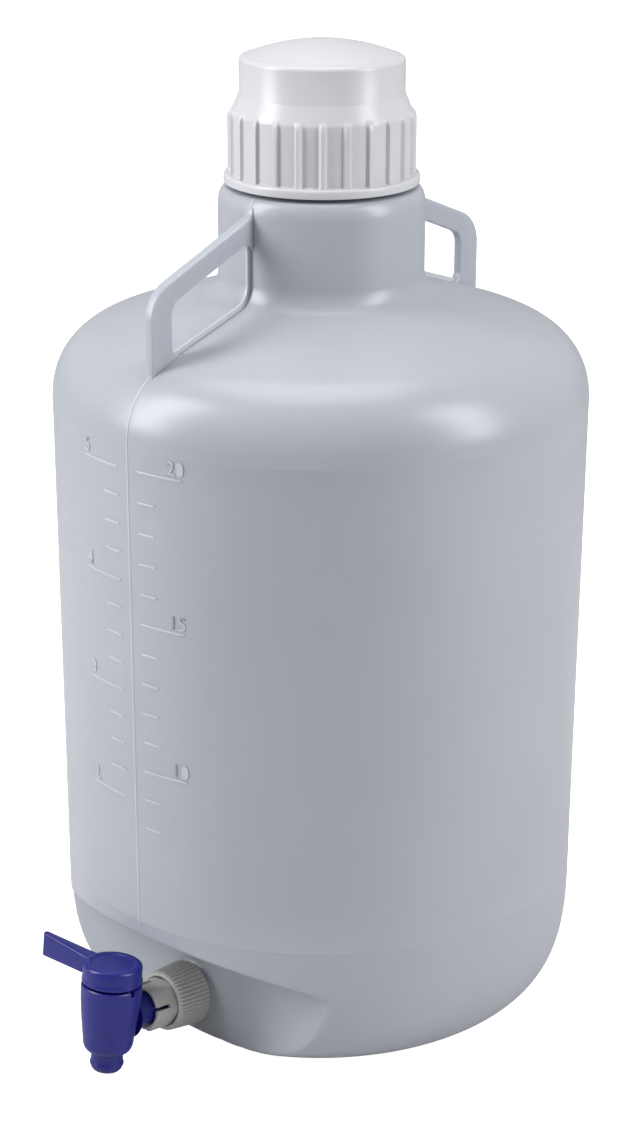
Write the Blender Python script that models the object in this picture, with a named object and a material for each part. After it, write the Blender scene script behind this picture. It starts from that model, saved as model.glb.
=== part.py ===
"""A round 20 litre polypropylene carboy with two moulded handles, a ribbed screw cap and a lever tap.

The origin is on the tank's axis, on the surface that it stands on. The tap points along -Y, the handles
lie along -Y and +Y, and the closed lever points along -X. Lengths below are in millimetres.
"""

from math import atan2, cos, hypot, pi, radians, sin, tan

import bmesh
import bpy
from mathutils import Matrix, Vector

MM = 0.001
GAP = 0.3  # between pieces that rest on each other

# Tank, blow moulded in one piece with its handles
BODY_R = 143.0
BODY_TAPER = 1.7  # radius lost between the upper and the lower seam
WALL = 3.0
FOOT_R = 80.0
BASE_RISE = 79.5  # from the floor to the lower seam
BASE_CURVE = 3.35  # exponent of the base corner, 2 is a plain ellipse
SIDE_HEIGHT = 263.7
SHOULDER_RUN = 42.2
SHOULDER_RISE = 39.9
SHOULDER_CURVE = 2.15
SHOULDER_END = radians(72)
CONE_SLOPE = radians(18)
NECK_FILLET = 13.0
COLLAR_STEP = 3.1  # how far the collar stands out past the cap's flange
COLLAR_LENGTH = 53.5
COLLAR_ROUND = 9.0
PAD_R = 30.0
GROOVE_R = 72.0
GROOVE_DEPTH = 2.5

# Handles, solid straps in the mould's parting plane
HANDLE_INSET = 16.2  # from the tank's side to the strap's outer edge
HANDLE_RISE = 41.5  # from the shoulder to the middle of the bend
POST_WIDTH = 14.5
ARM_WIDTH = 11.5
HANDLE_THICKNESS = 5.0
HANDLE_ROUND = 1.5
ARM_DROP = 8.0  # from the top of the collar to the arm's upper edge
OUTER_BEND = 20.0
INNER_BEND = 9.0
FLASH_HEIGHT = 2.0
FLASH_THICKNESS = 1.6

# Neck finish and cap
NECK_BORE = 35.5
NECK_WALL = 3.5
NECK_LENGTH = 35.5
THREAD_HEIGHT = 2.6
THREAD_LEAD = 12.0
THREAD_STARTS = 2
THREAD_TURNS = 1.2
THREAD_ROOT_HALF = 1.4
THREAD_CREST_HALF = 0.8
THREAD_CLEARANCE = 1.4
CAP_WALL = 4.3
CAP_LIFT = 2.0  # open height between the collar and the cap
RIB_COUNT = 24
RIB_TURN = radians(-2)  # the first rib, from +X
RIB_WIDTH = 4.5
RIB_HEIGHT = 1.5
FLANGE_STEP = 2.4
FLANGE_HEIGHT = 5.0
CROWN_INSET = 5.8  # from the ribs to the crown, across the sloping shoulder
CROWN_SLOPE = 10.0
CROWN_HEIGHT = 18.7
CROWN_DOME = 7.9
CROWN_ROUND = 2.5
CROWN_WALL = 3.5
SEAL_LAND = 5.5
CAP_GASKET = 2.2

# Tap panel and boss. The panel leans back at its top, and the whole tap points up with it.
TAP_TILT = radians(6.5)
PANEL_DEPTH = 40.2  # from the tank's side to the panel, at the boss
CEILING_HEIGHT = 52.1
CEILING_SLOPE = 0.455
PANEL_CORNER = 7.0
TAP_Z = 22.7  # of the boss's axis, at the panel
BOSS_R = 14.5
BOSS_LENGTH = 15.3
BOSS_BORE = 9.3

# Union nut and snap collar
BOSS_GASKET = 2.0
NUT_GAP = 2.5  # from the panel to the nut
NUT_LIP = 2.5
NUT_WALL_IN = 2.1
NUT_WALL_OUT = 1.0
NUT_RIBS = 48
NUT_RIB_HEIGHT = 0.5
COLLAR_FLANGE = 3.3
LIP_OVERLAP = 0.8
HEX_LENGTH = 16.3
HEX_FLAT_SHARE = 0.91  # across flats over across the rounded corners
SLOT_WIDTH = 2.0
SLOT_LENGTH = 9.0
SLOT_COUNT = 4

# Tap body
STEM_R = 9.0
STEM_BORE = 5.0
STEM_CLEARANCE = 0.3
SNAP_HEIGHT = 1.7
SNAP_LENGTH = 3.0
SNAP_SEAT = 7.5  # length of the collar's groove that the snap ring turns in
MOUTH_LENGTH = 3.0
BARREL_REACH = 62.1  # from the panel to the barrel's axis
BARREL_TOP_R = 16.3
BARREL_FOOT_R = 13.7
BARREL_BORE = 12.0
BARREL_TOP = 21.2  # heights along the barrel, from the stem's axis
BARREL_FOOT = -9.8
BARREL_FLOOR = -11.0
NOZZLE_TOP = -17.2
NOZZLE_BEAD = -24.0
NOZZLE_TIP = -28.3
NOZZLE_R = 8.6
NOZZLE_BEAD_R = 9.15
NOZZLE_TIP_R = 6.6
NOZZLE_BORE = 5.2
PORT_R = 4.6

# O-rings
STEM_RING = 2.1
PLUG_RING = 2.1

# Plug and lever
PLUG_CLEARANCE = 0.3
KEEP_RING = 0.6  # how far the plug's snap ring stands into the barrel's groove
LEVER_GAP = 1.0
KNOB_HEIGHT = 10.8
KNOB_DISH_R = 12.5
KNOB_DISH = 1.0
KEY_LENGTH = 12.0
KEY_WIDTH = 7.0
KEY_HEIGHT = 8.0
LEVER_LENGTH = 46.7
LEVER_THICKNESS = 3.8
LEVER_BLEND = 10.0
LEVER_LIFT = 3.0  # how far the blade's tip stands above the knob
STOP_HALF = radians(7)
STOP_PLAY = radians(1.5)
STOP_HEIGHT = 2.4
LEVER_SWING = radians(90)
NOTCH_WIDTH = 2.4

TANK_STEPS = 48
CAP_STEPS = 48
TAP_STEPS = 32
RING_STEPS = 24
CURVE_STEPS = 5

# Places that follow from the sizes above
lower_r = BODY_R - BODY_TAPER
side_top = BASE_RISE + SIDE_HEIGHT
neck_root = NECK_BORE + NECK_WALL
thread_crest = neck_root + THREAD_HEIGHT
cap_bore = thread_crest + THREAD_CLEARANCE
cap_land = cap_bore + CAP_WALL
rib_crest = cap_land + RIB_HEIGHT
flange_r = rib_crest + FLANGE_STEP
collar_r = flange_r + COLLAR_STEP
panel_y = BODY_R - PANEL_DEPTH
post_r = BODY_R - HANDLE_INSET


def superellipse(reach, rise, exponent, turn):
    """A point of a rounded corner: from (reach, 0) at turn 0 towards (0, rise) at a right angle."""
    return reach * cos(turn) ** (2 / exponent), rise * sin(turn) ** (2 / exponent)


def shoulder_points():
    base_r = BODY_R - SHOULDER_RUN
    turns = [SHOULDER_END * i / CURVE_STEPS for i in range(CURVE_STEPS + 1)]
    corner = [superellipse(SHOULDER_RUN, SHOULDER_RISE, SHOULDER_CURVE, turn) for turn in turns]
    return [(base_r + r, side_top + z) for r, z in corner]


shoulder = shoulder_points()
cone_r, cone_z = shoulder[-1]
collar_foot = cone_z + (cone_r - collar_r) * tan(CONE_SLOPE)
collar_top = collar_foot + COLLAR_LENGTH
neck_rim = collar_top + NECK_LENGTH


def arc(centre, radius, start, end, steps=CURVE_STEPS):
    """Points of a round stretch, both ends included, angles counted from the outline's first axis."""
    turns = [start + (end - start) * i / steps for i in range(steps + 1)]
    return [(centre[0] + radius * cos(turn), centre[1] + radius * sin(turn)) for turn in turns]


def fillet(before, corner, after, radius, steps=CURVE_STEPS):
    """The round that joins two straight runs at their corner."""
    corner = Vector(corner)
    one = (Vector(before) - corner).normalized()
    two = (Vector(after) - corner).normalized()
    half = one.angle(two) / 2
    centre = corner + (one + two).normalized() * radius / sin(half)
    first = corner + one * radius / tan(half) - centre
    last = corner + two * radius / tan(half) - centre
    start = atan2(first.y, first.x)
    sweep = (atan2(last.y, last.x) - start + pi) % (2 * pi) - pi
    return arc(centre, radius, start, start + sweep, steps)


def inset(points, depth):
    """An open outline moved to its left by depth, as an inner wall follows an outer one."""
    moved = []
    for i, (r, z) in enumerate(points):
        r0, z0 = points[max(i - 1, 0)]
        r1, z1 = points[min(i + 1, len(points) - 1)]
        length = hypot(r1 - r0, z1 - z0)
        moved.append((r - depth * (z1 - z0) / length, z + depth * (r1 - r0) / length))
    return moved


def shoulder_height(r):
    """Height of the tank's outer skin at radius r, on the shoulder or the cone above it."""
    if r <= cone_r:
        return cone_z + (cone_r - r) * tan(CONE_SLOPE)
    for (r0, z0), (r1, z1) in zip(shoulder, shoulder[1:]):
        if r1 <= r <= r0:
            return z0 + (z1 - z0) * (r0 - r) / (r0 - r1)
    return side_top


def material(name, colour, roughness):
    made = bpy.data.materials.new(name)
    made.use_nodes = True
    shader = made.node_tree.nodes["Principled BSDF"]
    shader.inputs["Base Color"].default_value = (*colour, 1.0)
    shader.inputs["Roughness"].default_value = roughness
    shader.inputs["Metallic"].default_value = 0.0
    return made


def lathe(outline, steps):
    """A turned body: the closed outline of (radius, height) points swept about Z. Radius 0 is the axis."""
    form = bmesh.new()
    columns = []
    for r, z in outline:
        if r == 0:
            columns.append([form.verts.new((0, 0, z * MM))] * steps)
            continue
        turns = [2 * pi * i / steps for i in range(steps)]
        columns.append([form.verts.new((r * MM * cos(t), r * MM * sin(t), z * MM)) for t in turns])
    for one, two in zip(columns, columns[1:] + columns[:1]):
        for i in range(steps):
            j = (i + 1) % steps
            corners = list(dict.fromkeys((one[i], one[j], two[j], two[i])))
            if len(corners) > 2:
                form.faces.new(corners)
    return form


def prism(outline, low, high):
    """A closed outline of (x, y) points, drawn up from height low to height high."""
    form = bmesh.new()
    floor = form.faces.new([form.verts.new((x * MM, y * MM, low * MM)) for x, y in outline])
    drawn = bmesh.ops.extrude_face_region(form, geom=[floor])
    top = [item for item in drawn["geom"] if isinstance(item, bmesh.types.BMVert)]
    bmesh.ops.translate(form, verts=top, vec=(0, 0, (high - low) * MM))
    return form


def ring(radius, section, height):
    """A rubber ring of round section, as an outline for lathe."""
    return arc((radius, height), section / 2, 0, 2 * pi, 10)[:-1]


def thread(inner, outer, inner_half, outer_half, start_height, start_turn, turns, steps):
    """One helical ridge between two radii, rising by the lead in each turn."""
    form = bmesh.new()
    section = [(inner, -inner_half), (outer, -outer_half), (outer, outer_half), (inner, inner_half)]
    count = round(turns * steps)
    rows = []
    for i in range(count + 1):
        turn = start_turn + 2 * pi * (i + 0.5) / steps
        rise = start_height + THREAD_LEAD * i / steps
        along = Vector((cos(turn), sin(turn), 0))
        rows.append([form.verts.new((along * r + Vector((0, 0, rise + z))) * MM) for r, z in section])
    for one, two in zip(rows, rows[1:]):
        for i in range(len(section)):
            j = (i + 1) % len(section)
            form.faces.new((one[i], one[j], two[j], two[i]))
    form.faces.new(rows[0])
    form.faces.new(rows[-1])
    return form


def place(name, form, made=None, turn=Matrix(), origin=(0, 0, 0)):
    """Makes the object. Without a material it is a tool that cuts or joins, and isn't a piece itself."""
    bmesh.ops.recalc_face_normals(form, faces=form.faces[:])
    bmesh.ops.transform(form, matrix=turn, verts=form.verts[:])
    mesh = bpy.data.meshes.new(name)
    form.to_mesh(mesh)
    form.free()
    mesh.shade_smooth()
    mesh.set_sharp_from_angle(angle=radians(35))
    piece = bpy.data.objects.new(name, mesh)
    piece.location = Vector(origin) * MM
    bpy.context.scene.collection.objects.link(piece)
    if made:
        mesh.materials.append(made)
    else:
        piece.hide_render = True
        piece.display_type = "WIRE"
    return piece


def combine(piece, tool, operation):
    step = piece.modifiers.new(tool.name, "BOOLEAN")
    step.object = tool
    step.operation = operation
    step.solver = "EXACT"


for old in list(bpy.data.objects):
    bpy.data.objects.remove(old)

UPRIGHT = Matrix.Rotation(pi / 2, 4, "X")  # a prism's height along -Y, its outline standing
OUTWARD = Matrix.Rotation(pi / 2 - TAP_TILT, 4, "X")  # a turned body's axis square to the panel
LEAN = Matrix.Rotation(-TAP_TILT, 4, "X")  # a turned body's axis along the barrel
SIDEWAYS = Matrix(((0, 0, 1, 0), (1, 0, 0, 0), (0, 1, 0, 0), (0, 0, 0, 1)))  # an outline in (y, z)
boss_place = (0, -panel_y, TAP_Z)
tap_place = (0, -panel_y - BARREL_REACH * cos(TAP_TILT), TAP_Z + BARREL_REACH * sin(TAP_TILT))

tank_pp = material("natural_polypropylene", (0.62, 0.66, 0.70), 0.38)
cap_pp = material("white_polypropylene", (0.86, 0.87, 0.89), 0.28)
nut_pp = material("grey_polypropylene", (0.55, 0.56, 0.54), 0.45)
tap_pp = material("blue_polypropylene", (0.035, 0.035, 0.36), 0.32)
plug_pe = material("natural_polyethylene", (0.80, 0.80, 0.76), 0.45)
soft_rubber = material("silicone_rubber", (0.70, 0.70, 0.66), 0.60)
black_rubber = material("nitrile_rubber", (0.02, 0.02, 0.02), 0.55)


def tank_outline():
    """The tank's skin from the foot up to the top of the collar."""
    turns = [pi / 2 * (1 - i / 7) for i in range(8)]
    corner = [superellipse(lower_r - FOOT_R, BASE_RISE, BASE_CURVE, turn) for turn in turns]
    base = [(FOOT_R + r, BASE_RISE - z) for r, z in corner]
    neck = fillet((cone_r, cone_z), (collar_r, collar_foot), (collar_r, collar_top), NECK_FILLET)
    top = arc((collar_r - COLLAR_ROUND / 2, collar_top - COLLAR_ROUND), COLLAR_ROUND / 2, 0, pi / 4, 2)
    crown = [(r, z + COLLAR_ROUND / 2 * sin(pi / 4 * i / 2)) for i, (r, z) in enumerate(top)]
    return base + shoulder + neck + crown + [(collar_r - COLLAR_ROUND / 2, collar_top)]


def handle(name, side):
    """One strap: out from the collar, round the bend and down to the shoulder."""
    bend_z = shoulder_height(post_r) + HANDLE_RISE
    arm_top = collar_top - ARM_DROP
    rise = arm_top - bend_z
    slope = rise / (post_r - collar_r)
    down = ARM_WIDTH * hypot(1, slope)
    inner_r = post_r - POST_WIDTH
    inside = collar_r - WALL
    inner_top = arm_top - down
    foot = shoulder_height(post_r) - WALL
    corner = (post_r, bend_z)
    inner_corner = (inner_r, inner_top - slope * (inner_r - collar_r))
    outline = [(inside, arm_top + slope * WALL)]
    outline += fillet(outline[0], corner, (post_r, foot), OUTER_BEND)
    outline += [(post_r, foot), (inner_r, foot)]
    outline += fillet((inner_r, foot), inner_corner, (collar_r, inner_top), INNER_BEND)
    outline += [(inside, inner_top + slope * WALL)]
    half = HANDLE_THICKNESS / 2
    strap = place(name, prism([(side * r, z) for r, z in outline], -half, half), turn=SIDEWAYS)
    edge = strap.modifiers.new("edge", "BEVEL")
    edge.width = HANDLE_ROUND * MM
    edge.segments = 2
    edge.limit_method = "ANGLE"
    edge.angle_limit = radians(60)
    return strap


def flash(name, side):
    """The thin web that the mould leaves inside the handle, along the shoulder and up the collar."""
    skin = fillet((cone_r, cone_z), (collar_r, collar_foot), (collar_r, collar_top), NECK_FILLET)
    inner_r = post_r - POST_WIDTH / 2
    run = [(inner_r, shoulder_height(inner_r))] + skin + [(collar_r, collar_top - ARM_DROP - ARM_WIDTH / 2)]
    outline = inset(run, -FLASH_HEIGHT) + inset(run, WALL / 2)[::-1]
    half = FLASH_THICKNESS / 2
    return place(name, prism([(side * r, z) for r, z in outline], -half, half), turn=SIDEWAYS)


def panel_at(z, depth):
    """How far along Y the leaning panel's plane lies at height z, moved into the tank by depth."""
    return -panel_y + (z - TAP_Z) * tan(TAP_TILT) + depth / cos(TAP_TILT)


def recess(name, depth, reach):
    """The wedge that leaves a flat panel under a sloping ceiling, moved into the tank by depth."""
    crest = CEILING_HEIGHT + CEILING_SLOPE * panel_at(CEILING_HEIGHT, 0) + depth * hypot(1, CEILING_SLOPE)
    corner_z = (crest - CEILING_SLOPE * panel_at(0, depth)) / (1 + CEILING_SLOPE * tan(TAP_TILT))
    far_y = -BODY_R - reach
    foot = (panel_at(-reach, depth), -reach)
    far = (far_y, crest - CEILING_SLOPE * far_y)
    outline = [foot] + fillet(foot, (panel_at(corner_z, depth), corner_z), far, PANEL_CORNER + depth)
    outline += [far, (far_y, -reach)]
    return place(name, prism(outline, -BODY_R, BODY_R), turn=SIDEWAYS)


def carboy():
    skin = tank_outline()
    underside = [(0, 0), (PAD_R, 0), (PAD_R + GROOVE_DEPTH, GROOVE_DEPTH), (GROOVE_R, GROOVE_DEPTH)]
    underside += [(GROOVE_R + GROOVE_DEPTH, 0)]
    finish = [(neck_root, collar_top), (neck_root, neck_rim - 1), (neck_root - 1, neck_rim), (0, neck_rim)]
    body = place("carboy_body", lathe(underside + skin + finish, TANK_STEPS), tank_pp)

    floor = GROOVE_DEPTH + WALL
    hollow = [(r, max(z, floor)) for r, z in inset(skin[:-1], WALL)]
    ceiling = collar_top - WALL
    hollow = [(0, floor)] + hollow[1:] + [(NECK_BORE, ceiling), (NECK_BORE, neck_rim + 1), (0, neck_rim + 1)]
    cavity = place("tool_cavity", lathe(hollow, TANK_STEPS))
    combine(cavity, recess("tool_recess_inside", WALL, BODY_R), "DIFFERENCE")

    combine(body, recess("tool_recess", 0, BODY_R / 2), "DIFFERENCE")
    for name, side in (("front", -1), ("rear", 1)):
        combine(body, handle(f"tool_handle_{name}", side), "UNION")
        combine(body, flash(f"tool_flash_{name}", side), "UNION")
    boss = [(0, -WALL / 2), (BOSS_R, -WALL / 2), (BOSS_R, BOSS_LENGTH), (0, BOSS_LENGTH)]
    combine(body, place("tool_boss", lathe(boss, TAP_STEPS), turn=OUTWARD, origin=boss_place), "UNION")
    combine(body, cavity, "DIFFERENCE")
    bore = [(0, -3 * WALL), (BOSS_BORE, -3 * WALL), (BOSS_BORE, BOSS_LENGTH + 1), (0, BOSS_LENGTH + 1)]
    way_out = place("tool_boss_bore", lathe(bore, TAP_STEPS), turn=OUTWARD, origin=boss_place)
    combine(body, way_out, "DIFFERENCE")
    for start in range(THREAD_STARTS):
        ridge = thread(neck_root - WALL / 4, thread_crest, THREAD_ROOT_HALF, THREAD_CREST_HALF,
                       thread_foot, 2 * pi * start / THREAD_STARTS, THREAD_TURNS, TANK_STEPS)
        combine(body, place(f"tool_neck_thread_{start}", ridge), "UNION")
    return body


gasket_foot = neck_rim + GAP
seal_z = gasket_foot + CAP_GASKET + GAP
cap_foot = collar_top + CAP_LIFT
thread_foot = neck_rim - THREAD_LEAD * THREAD_TURNS - NECK_LENGTH / 4


def cap():
    skirt_top = seal_z
    crown_r = rib_crest - CROWN_INSET
    crown_foot = skirt_top + CROWN_SLOPE
    crown_top = crown_foot + CROWN_HEIGHT
    crown_bore = cap_bore - SEAL_LAND
    round_top = arc((crown_r - CROWN_ROUND, crown_top - CROWN_ROUND), CROWN_ROUND, 0, pi / 2, 3)
    outline = [(cap_bore, cap_foot), (flange_r - 1, cap_foot), (flange_r, cap_foot + 1),
               (flange_r, cap_foot + FLANGE_HEIGHT - 1.5), (flange_r - 1.5, cap_foot + FLANGE_HEIGHT),
               (cap_land, cap_foot + FLANGE_HEIGHT), (cap_land, skirt_top), (crown_r, crown_foot)]
    outline += round_top + [(crown_r / 2, crown_top + CROWN_DOME * 0.75), (0, crown_top + CROWN_DOME)]
    inside = crown_top - CROWN_WALL
    outline += [(0, inside + CROWN_DOME), (crown_bore / 2, inside + CROWN_DOME * 0.75), (crown_bore, inside)]
    outline += [(crown_bore, seal_z), (cap_bore, seal_z)]
    piece = place("screw_cap", lathe(outline, CAP_STEPS), cap_pp)

    ribs = bmesh.new()
    low = cap_foot + FLANGE_HEIGHT / 2
    half = RIB_WIDTH / 2
    side = [(cap_land - CAP_WALL / 2, low), (rib_crest, low), (rib_crest, skirt_top - 1),
            (cap_land - CAP_WALL / 2, crown_foot - 3)]
    for i in range(RIB_COUNT):
        rib = prism([(r, z) for r, z in side], -half, half)
        bmesh.ops.transform(rib, matrix=UPRIGHT, verts=rib.verts[:])
        around = Matrix.Rotation(RIB_TURN + 2 * pi * i / RIB_COUNT, 3, "Z")
        bmesh.ops.rotate(rib, verts=rib.verts[:], matrix=around)
        copy = bpy.data.meshes.new("rib")
        rib.to_mesh(copy)
        rib.free()
        ribs.from_mesh(copy)
        bpy.data.meshes.remove(copy)
    combine(piece, place("tool_cap_ribs", ribs), "UNION")
    for start in range(THREAD_STARTS):
        turn = 2 * pi * start / THREAD_STARTS
        rise = thread_foot + THREAD_LEAD / THREAD_STARTS / 2
        ridge = thread(thread_crest - THREAD_HEIGHT * 0.6, cap_bore + CAP_WALL / 4, THREAD_CREST_HALF,
                       THREAD_ROOT_HALF, rise, turn, 1.0 / THREAD_STARTS + 0.4, CAP_STEPS)
        combine(piece, place(f"tool_cap_thread_{start}", ridge), "UNION")
    gasket = [(NECK_BORE + GAP, gasket_foot), (cap_bore - GAP, gasket_foot),
              (cap_bore - GAP, gasket_foot + CAP_GASKET), (NECK_BORE + GAP, gasket_foot + CAP_GASKET)]
    place("cap_gasket", lathe(gasket, CAP_STEPS), soft_rubber)


def radial_rib(name, count, radius_in, radius_out, low, high, depth, width):
    """Fine ribs round a tapered body, from height low to height high."""
    ribs = bmesh.new()
    for i in range(count):
        turn = 2 * pi * i / count
        corners = []
        for z, r in ((low, radius_in), (high, radius_out)):
            for across, out in ((-width, -depth), (width, -depth), (0, depth)):
                corner = Matrix.Rotation(turn, 3, "Z") @ Vector((r + out, across, z))
                corners.append(ribs.verts.new(corner * MM))
        a, b, c, d, e, f = corners
        for face in ((a, b, c), (d, e, f), (a, b, e, d), (b, c, f, e), (c, a, d, f)):
            ribs.faces.new(face)
    return place(name, ribs, turn=OUTWARD, origin=boss_place)


flange_foot = BOSS_LENGTH + GAP + BOSS_GASKET + GAP
lip_foot = flange_foot + COLLAR_FLANGE + GAP
nut_end = lip_foot + NUT_LIP
lip_bore = BOSS_R - LIP_OVERLAP
hex_corner = lip_bore - GAP
hex_end = lip_foot + HEX_LENGTH
nut_bore = BOSS_R + GAP
mouth_foot = hex_end - MOUTH_LENGTH
seat_foot = mouth_foot - SNAP_SEAT
slot_foot = hex_end - SLOT_LENGTH
stem_seat = STEM_R + STEM_CLEARANCE


def union_nut():
    outer_in = nut_bore + NUT_WALL_IN
    outer_out = nut_bore + NUT_WALL_OUT
    outline = [(nut_bore, NUT_GAP), (outer_in, NUT_GAP), (outer_out, nut_end), (lip_bore, nut_end),
               (lip_bore, lip_foot), (nut_bore, lip_foot)]
    nut = place("union_nut", lathe(outline, TAP_STEPS), nut_pp, turn=OUTWARD, origin=boss_place)
    width = pi * outer_in / NUT_RIBS * 0.7
    low, high = NUT_GAP + 0.8, nut_end - 2.2
    taper = (outer_in - outer_out) / (nut_end - NUT_GAP)
    ribs = radial_rib("tool_nut_ribs", NUT_RIBS, outer_in - taper * (low - NUT_GAP),
                      outer_in - taper * (high - NUT_GAP), low, high, NUT_RIB_HEIGHT, width)
    combine(nut, ribs, "UNION")


def snap_collar():
    """The slotted hexagon that the nut clamps. The tap's stem snaps into it and can turn."""
    flange = [(0, flange_foot), (BOSS_R - GAP / 3, flange_foot), (BOSS_R - GAP / 3, lip_foot - GAP),
              (0, lip_foot - GAP)]
    collar = place("snap_collar", lathe(flange, TAP_STEPS), nut_pp, turn=OUTWARD, origin=boss_place)
    flat = hex_corner * HEX_FLAT_SHARE
    rounding = hex_corner * 0.45
    sides = []
    for i in range(6):
        turn = pi / 3 * i + pi / 6
        reach = (flat - rounding) / cos(pi / 6)
        centre = (reach * cos(turn), reach * sin(turn))
        sides += arc(centre, rounding, turn - pi / 6, turn + pi / 6, 3)
    hexagon = place("tool_hexagon", prism(sides, flange_foot + COLLAR_FLANGE / 2, hex_end), turn=OUTWARD,
                    origin=boss_place)
    combine(collar, hexagon, "UNION")
    bore = [(0, flange_foot - 1), (stem_seat, flange_foot - 1), (stem_seat, seat_foot),
            (STEM_R + SNAP_HEIGHT + GAP, seat_foot), (STEM_R + SNAP_HEIGHT + GAP, mouth_foot),
            (stem_seat, mouth_foot), (stem_seat, hex_end - 1), (stem_seat + 2, hex_end + 1), (0, hex_end + 1)]
    way_in = place("tool_collar_bore", lathe(bore, TAP_STEPS), turn=OUTWARD, origin=boss_place)
    combine(collar, way_in, "DIFFERENCE")
    for i in range(SLOT_COUNT // 2):
        across = Matrix.Rotation(pi * i * 2 / SLOT_COUNT + pi / 12, 4, "Z")
        half, long = SLOT_WIDTH / 2, hex_corner + 2
        slot = prism([(-long, -half), (long, -half), (long, half), (-long, half)], slot_foot, hex_end + 1)
        cut = place(f"tool_slot_{i}", slot, turn=OUTWARD @ across, origin=boss_place)
        combine(collar, cut, "DIFFERENCE")
    gasket_low = BOSS_LENGTH + GAP
    gasket = [(BOSS_BORE, gasket_low), (BOSS_R - GAP, gasket_low), (BOSS_R - GAP, gasket_low + BOSS_GASKET),
              (BOSS_BORE, gasket_low + BOSS_GASKET)]
    place("boss_gasket", lathe(gasket, TAP_STEPS), soft_rubber, turn=OUTWARD, origin=boss_place)


def o_ring(name, seat_r, section, height, turn, origin):
    """A rubber ring that fills the room between its groove and the wall at radius seat_r."""
    outline = ring(seat_r - GAP - section / 2, section, height)
    place(name, lathe(outline, RING_STEPS), black_rubber, turn=turn, origin=origin)


def groove(seat_r, section, height):
    """Points of a square groove for a ring that seals on radius seat_r, from low to high."""
    bottom = seat_r - 2 * GAP - section
    half = section / 2 + GAP
    return [(bottom, height - half), (bottom, height + half)]


stem_ring_at = (flange_foot + seat_foot) / 2
upper_ring_at = BARREL_TOP - 6.5
lower_ring_at = -8.0
plug_r = BARREL_BORE - PLUG_CLEARANCE
keep_low, keep_high = BARREL_TOP - 3.3, BARREL_TOP - 1.2


def tap_body():
    """Barrel, nozzle and stem in one moulding. The barrel's axis is this object's Z."""
    half_tip = (NOZZLE_TIP + NOZZLE_BEAD) / 2
    outline = [(0, NOZZLE_TIP), (NOZZLE_TIP_R, NOZZLE_TIP), (NOZZLE_TIP_R + 1.6, half_tip),
               (NOZZLE_BEAD_R, NOZZLE_BEAD), (NOZZLE_R, NOZZLE_BEAD + 1.2), (NOZZLE_R, NOZZLE_TOP)]
    outline += [(BARREL_FOOT_R - 3.0, NOZZLE_TOP + 2.0), (BARREL_FOOT_R - 1.2, BARREL_FOOT - 3.4),
                (BARREL_FOOT_R - 0.3, BARREL_FOOT - 1.6), (BARREL_FOOT_R, BARREL_FOOT),
                (BARREL_TOP_R, BARREL_TOP - 5), (BARREL_TOP_R, BARREL_TOP), (0, BARREL_TOP)]
    body = place("tap_body", lathe(outline, TAP_STEPS), tap_pp, turn=LEAN, origin=tap_place)

    to_panel = -BARREL_REACH
    ring_low, ring_high = groove(stem_seat, STEM_RING, stem_ring_at)
    snap = mouth_foot - GAP
    stem = [(0, flange_foot + 0.8), (STEM_R, flange_foot + 0.8), (STEM_R, ring_low[1]), ring_low, ring_high,
            (STEM_R, ring_high[1]), (STEM_R, snap - SNAP_LENGTH - 1),
            (STEM_R + SNAP_HEIGHT, snap - SNAP_LENGTH / 2), (STEM_R + SNAP_HEIGHT, snap), (STEM_R, snap),
            (STEM_R, BARREL_REACH - BARREL_BORE - 2), (0, BARREL_REACH - BARREL_BORE - 2)]
    stem = [(r, z + to_panel) for r, z in stem]
    combine(body, place("tool_stem", lathe(stem, TAP_STEPS), turn=OUTWARD, origin=tap_place), "UNION")

    keep_r = BARREL_BORE + KEEP_RING + GAP
    bore = [(0, BARREL_FLOOR), (BARREL_BORE, BARREL_FLOOR), (BARREL_BORE, keep_low), (keep_r, keep_low),
            (keep_r, keep_high), (BARREL_BORE, keep_high), (BARREL_BORE, BARREL_TOP + 1), (0, BARREL_TOP + 1)]
    chamber = place("tool_barrel_bore", lathe(bore, TAP_STEPS), turn=LEAN, origin=tap_place)
    combine(body, chamber, "DIFFERENCE")
    outlet = [(0, NOZZLE_TIP - 1), (NOZZLE_BORE, NOZZLE_TIP - 1), (NOZZLE_BORE, BARREL_FLOOR + 1),
              (0, BARREL_FLOOR + 1)]
    combine(body, place("tool_outlet", lathe(outlet, RING_STEPS), turn=LEAN, origin=tap_place), "DIFFERENCE")
    inlet = [(0, to_panel), (STEM_BORE, to_panel), (STEM_BORE, 0), (0, 0)]
    way_in = place("tool_inlet", lathe(inlet, RING_STEPS), turn=OUTWARD, origin=tap_place)
    combine(body, way_in, "DIFFERENCE")

    spare = STOP_HALF + STOP_PLAY
    track = arc((0, 0), stop_out + GAP, -spare, LEVER_SWING + spare, 12)
    track += arc((0, 0), BARREL_BORE - 1, LEVER_SWING + spare, -spare, 12)
    low = BARREL_TOP - STOP_HEIGHT
    stops = place("tool_stop_track", prism(track, low, BARREL_TOP + 1), turn=LEAN, origin=tap_place)
    combine(body, stops, "DIFFERENCE")
    half = NOTCH_WIDTH / 2
    notch = [(BARREL_BORE, -half), (BARREL_TOP_R + 1, -half), (BARREL_TOP_R + 1, half), (BARREL_BORE, half)]
    mark = place("tool_notch", prism(notch, low, BARREL_TOP + 1), turn=LEAN, origin=tap_place)
    combine(body, mark, "DIFFERENCE")


stop_out = (BARREL_BORE + BARREL_TOP_R) / 2


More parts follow.
